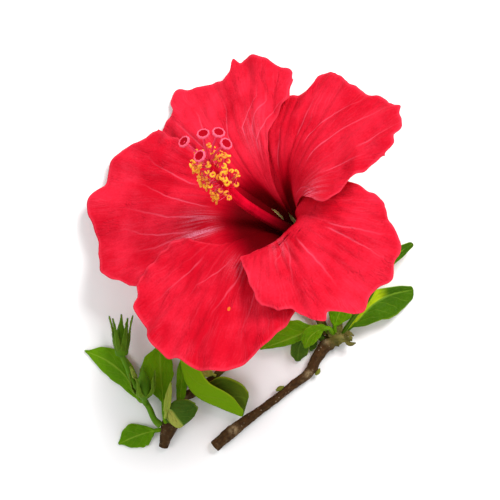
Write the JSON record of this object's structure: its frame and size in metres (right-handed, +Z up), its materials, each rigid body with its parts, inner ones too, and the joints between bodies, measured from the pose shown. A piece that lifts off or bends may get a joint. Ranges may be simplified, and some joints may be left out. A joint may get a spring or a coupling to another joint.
{
  "type": "hibiscus flower",
  "caption": "Cut sprig of red hibiscus lying down: an open flower with ruffled petals and a long staminal column, closed buds, glossy leaves and a woody twig.",
  "frame": {"origin": "on the surface that the sprig lies on, under the middle of its outline", "axes": "+Z up from the surface; +Y along the sprig's longest side, from the twig's cut end towards the flower's far rim; +X across it, towards the right-hand petals"},
  "size_m": [0.1213, 0.1431, 0.0772],
  "materials": {
    "petal": "soft satin, translucent, veined",
    "column": "smooth, waxy",
    "stigma": "velvety",
    "anther": "powdery",
    "calyx": "downy matte green",
    "green_stem": "smooth green skin",
    "leaf": "glossy, veined",
    "bark": "rough brown bark with pale pores"
  },
  "bodies": {
    "root": {"petal_top": "petal", "petal_upper_right": "petal", "petal_lower_right": "petal", "petal_bottom": "petal", "petal_left": "petal", "staminal_column": "column", "style_arm_1": "stigma", "style_arm_2": "stigma", "style_arm_3": "stigma", "style_arm_4": "stigma", "style_arm_5": "stigma", "calyx": "calyx", "calyx_bract_1": "calyx", "calyx_bract_2": "calyx", "calyx_bract_3": "calyx", "calyx_bract_4": "calyx", "calyx_bract_5": "calyx", "calyx_bract_6": "calyx", "calyx_bract_7": "calyx", "bud_upper": "calyx", "bud_lower": "calyx", "bud_upper_bract_1": "calyx", "bud_upper_bract_2": "calyx", "bud_upper_bract_3": "calyx", "bud_upper_bract_4": "calyx", "bud_upper_bract_5": "calyx", "bud_lower_bract_1": "calyx", "bud_lower_bract_2": "calyx", "bud_lower_bract_3": "calyx", "bud_lower_bract_4": "calyx", "bud_lower_bract_5": "calyx", "pedicel": "green_stem", "left_shoot": "green_stem", "twig_bud_lower": "green_stem", "twig_bud_upper": "green_stem", "main_twig": "bark", "side_branch": "bark", "leaf_far_left": "leaf", "leaf_left_broad": "leaf", "leaf_left_inner": "leaf", "leaf_folded_long": "leaf", "leaf_small_round": "leaf", "leaf_low_left": "leaf", "leaf_right": "leaf", "leaf_pointed": "leaf", "leaf_hanging": "leaf", "leaf_curled": "leaf", "leaf_dark_small": "leaf", "leaf_behind_petal": "leaf", "leaf_right_tip": "leaf", "small_sprout": "leaf", "stipule_knot": "leaf", "stipule_shoot": "leaf"}
  },
  "joints": []
}
